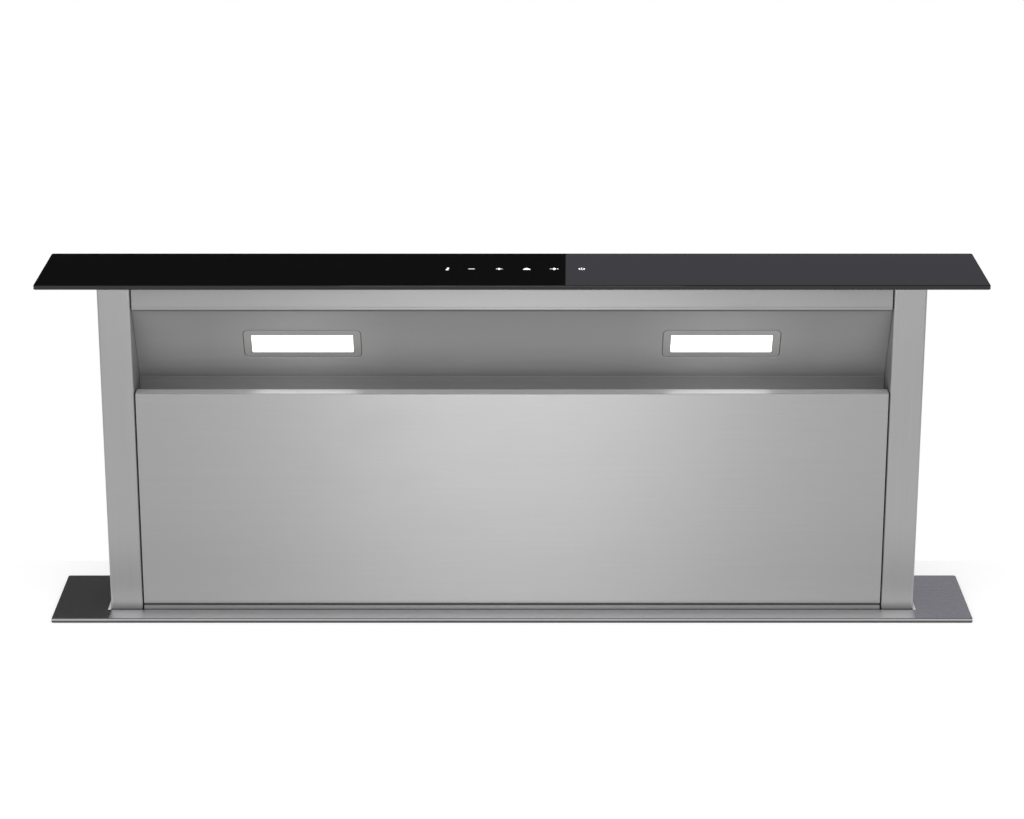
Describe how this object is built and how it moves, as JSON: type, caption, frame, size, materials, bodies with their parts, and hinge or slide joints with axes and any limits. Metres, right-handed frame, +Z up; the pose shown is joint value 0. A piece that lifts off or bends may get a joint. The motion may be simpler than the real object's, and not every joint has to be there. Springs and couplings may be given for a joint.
{
  "type": "downdraft vent",
  "caption": "Worktop downdraft vent: steel column with a glass top that rises through a deck plate, over a slim housing with belt lift and centrifugal blower",
  "frame": {"origin": "middle of the worktop cut-out, on the worktop's surface, which is the underside of the deck plate", "axes": "+X to the right as the user faces the front panel, +Y to the back, +Z up along the column's lift"},
  "size_m": [0.9, 0.265, 0.997],
  "materials": {
    "brushed_steel": "fine vertical brush, satin",
    "deck_steel": "finely polished, mirrors what stands on it",
    "black_glass": "back-painted black, polished",
    "lens": "opal, lit from behind",
    "lamp_bezel": "satin grey",
    "galvanised": "zinc-coated steel sheet, faint spangle",
    "zinc_plated": "dull zinc plate",
    "aluminium": "bare, mill finish",
    "black_plastic": "moulded, fine grain",
    "grey_plastic": "moulded, fine grain",
    "nylon": "turned nylon",
    "rubber": "black rubber",
    "circuit_board": "green lacquer"
  },
  "bodies": {
    "housing": {"deck_plate": "deck_steel", "deck_gasket": "rubber", "deck_frame": "galvanised", "housing_shell": "galvanised", "housing_base": "galvanised", "access_cover": "galvanised", "blower_plate": "galvanised", "guide_rail_right": "zinc_plated", "guide_rail_left": "zinc_plated", "idler_bracket_right": "zinc_plated", "idler_bracket_left": "zinc_plated", "lift_belt_right": "rubber", "lift_belt_left": "rubber", "shaft_bearing_right": "black_plastic", "shaft_bearing_left": "black_plastic", "lift_gearbox": "grey_plastic", "lift_motor": "zinc_plated", "scroll_casing": "black_plastic", "fan_motor": "zinc_plated", "outlet_transition": "black_plastic", "outlet_spigot": "black_plastic", "damper_pin": "zinc_plated", "control_box": "grey_plastic", "control_box_lid": "grey_plastic", "cable_gland": "black_plastic", "worktop_clamp_right": "zinc_plated", "worktop_clamp_left": "zinc_plated", "floor_bracket_right": "zinc_plated", "floor_bracket_left": "zinc_plated"},
    "column": {"upright_right": "brushed_steel", "upright_left": "brushed_steel", "top_rail": "brushed_steel", "lamp_panel": "brushed_steel", "front_panel": "brushed_steel", "bottom_rail": "brushed_steel", "back_panel": "brushed_steel", "glass_carrier": "galvanised", "glass_top": "black_glass", "touch_board": "circuit_board", "lamp_bezel_left": "lamp_bezel", "lamp_lens_left": "lens", "lamp_bezel_right": "lamp_bezel", "lamp_lens_right": "lens", "filter_frame_1": "aluminium", "filter_pack_1": "aluminium", "filter_frame_2": "aluminium", "filter_pack_2": "aluminium", "carriage_right": "zinc_plated", "carriage_left": "zinc_plated"},
    "shaft": {"sync_shaft": "zinc_plated"},
    "idler_pulley_left": {"idler_pulley_left": "aluminium"},
    "roller_lower_left": {"roller_lower_left": "nylon"},
    "roller_upper_left": {"roller_upper_left": "nylon"},
    "idler_pulley_right": {"idler_pulley_right": "aluminium"},
    "roller_lower_right": {"roller_lower_right": "nylon"},
    "roller_upper_right": {"roller_upper_right": "nylon"},
    "impeller": {"impeller": "galvanised"},
    "damper_leaf_front": {"damper_leaf_front": "grey_plastic"},
    "damper_leaf_rear": {"damper_leaf_rear": "grey_plastic"}
  },
  "joints": [
    {"name": "lift", "type": "slide", "parent": "housing", "child": "column", "axis": [0, 0, 1], "range_m": [-0.3315, 0]},
    {"name": "shaft_turn", "type": "hinge", "parent": "housing", "child": "shaft", "pos_m": [0, 0.016, -0.612], "axis": [1, 0, 0], "range_deg": [0, 1810]},
    {"name": "idler_pulley_left_turn", "type": "hinge", "parent": "housing", "child": "idler_pulley_left", "pos_m": [-0.4046, 0.016, -0.042], "axis": [1, 0, 0], "range_deg": [0, 1810]},
    {"name": "roller_lower_left_turn", "type": "hinge", "parent": "column", "child": "roller_lower_left", "pos_m": [-0.4059, -0.014, -0.104], "axis": [1, 0, 0], "range_deg": [0, 2240]},
    {"name": "roller_upper_left_turn", "type": "hinge", "parent": "column", "child": "roller_upper_left", "pos_m": [-0.4059, -0.014, -0.042], "axis": [1, 0, 0], "range_deg": [-2240, 0]},
    {"name": "idler_pulley_right_turn", "type": "hinge", "parent": "housing", "child": "idler_pulley_right", "pos_m": [0.4046, 0.016, -0.042], "axis": [1, 0, 0], "range_deg": [0, 1810]},
    {"name": "roller_lower_right_turn", "type": "hinge", "parent": "column", "child": "roller_lower_right", "pos_m": [0.4059, -0.014, -0.104], "axis": [1, 0, 0], "range_deg": [0, 2240]},
    {"name": "roller_upper_right_turn", "type": "hinge", "parent": "column", "child": "roller_upper_right", "pos_m": [0.4059, -0.014, -0.042], "axis": [1, 0, 0], "range_deg": [-2240, 0]},
    {"name": "fan_turn", "type": "hinge", "parent": "housing", "child": "impeller", "pos_m": [-0.06, -0.098, -0.516], "axis": [0, 1, 0], "continuous": true},
    {"name": "front_leaf_swing", "type": "hinge", "parent": "housing", "child": "damper_leaf_front", "pos_m": [0.1666, -0.1305, -0.575], "axis": [0, 0, 1], "range_deg": [0, 80], "stiffness_Nm_per_rad": 0.01, "springref_deg": -20.05},
    {"name": "rear_leaf_swing", "type": "hinge", "parent": "housing", "child": "damper_leaf_rear", "pos_m": [0.1666, -0.1305, -0.575], "axis": [0, 0, -1], "range_deg": [0, 80], "stiffness_Nm_per_rad": 0.01, "springref_deg": -20.05}
  ],
  "couplings": [
    {"joint": "shaft_turn", "follows": "lift", "rad_per_m": -95.238},
    {"joint": "idler_pulley_left_turn", "follows": "lift", "rad_per_m": -95.238},
    {"joint": "roller_lower_left_turn", "follows": "lift", "rad_per_m": -117.65},
    {"joint": "roller_upper_left_turn", "follows": "lift", "rad_per_m": 117.65},
    {"joint": "idler_pulley_right_turn", "follows": "lift", "rad_per_m": -95.238},
    {"joint": "roller_lower_right_turn", "follows": "lift", "rad_per_m": -117.65},
    {"joint": "roller_upper_right_turn", "follows": "lift", "rad_per_m": 117.65}
  ]
}
